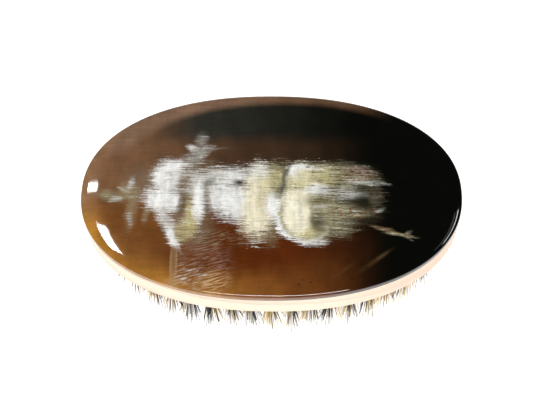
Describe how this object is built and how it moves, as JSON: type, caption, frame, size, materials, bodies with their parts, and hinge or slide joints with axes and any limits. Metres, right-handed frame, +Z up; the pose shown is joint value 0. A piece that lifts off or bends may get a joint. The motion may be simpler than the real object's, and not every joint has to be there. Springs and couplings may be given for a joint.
{
  "type": "vanity hairbrush",
  "caption": "Handle-less oval vanity hairbrush: a domed polished horn back glued on a wooden stock that holds wire-drawn tufts of natural bristle.",
  "frame": {"origin": "middle of the oval on the plane of the bristle tips", "axes": "+X along the brush's length, +Y across its width, +Z up from the bristle tips to the horn back"},
  "size_m": [0.12, 0.072, 0.0325],
  "materials": {
    "horn": "polished dark horn with a cloudy pale heart",
    "stock_wood": "pale close-grained wood, thinly oiled",
    "bristle": "natural bristle, black and blond mixed",
    "wire": "plain drawn wire"
  },
  "bodies": {
    "root": {"horn_back": "horn", "bristle_stock": "stock_wood", "tuft_ring_1": "bristle", "tuft_ring_2": "bristle", "tuft_ring_3": "bristle", "tuft_ring_4": "bristle", "tuft_ring_5": "bristle", "tuft_centre_row": "bristle", "drawing_wire_ring_1": "wire", "drawing_wire_ring_2": "wire", "drawing_wire_ring_3": "wire", "drawing_wire_ring_4": "wire", "drawing_wire_ring_5": "wire", "drawing_wire_centre_row": "wire"}
  },
  "joints": []
}
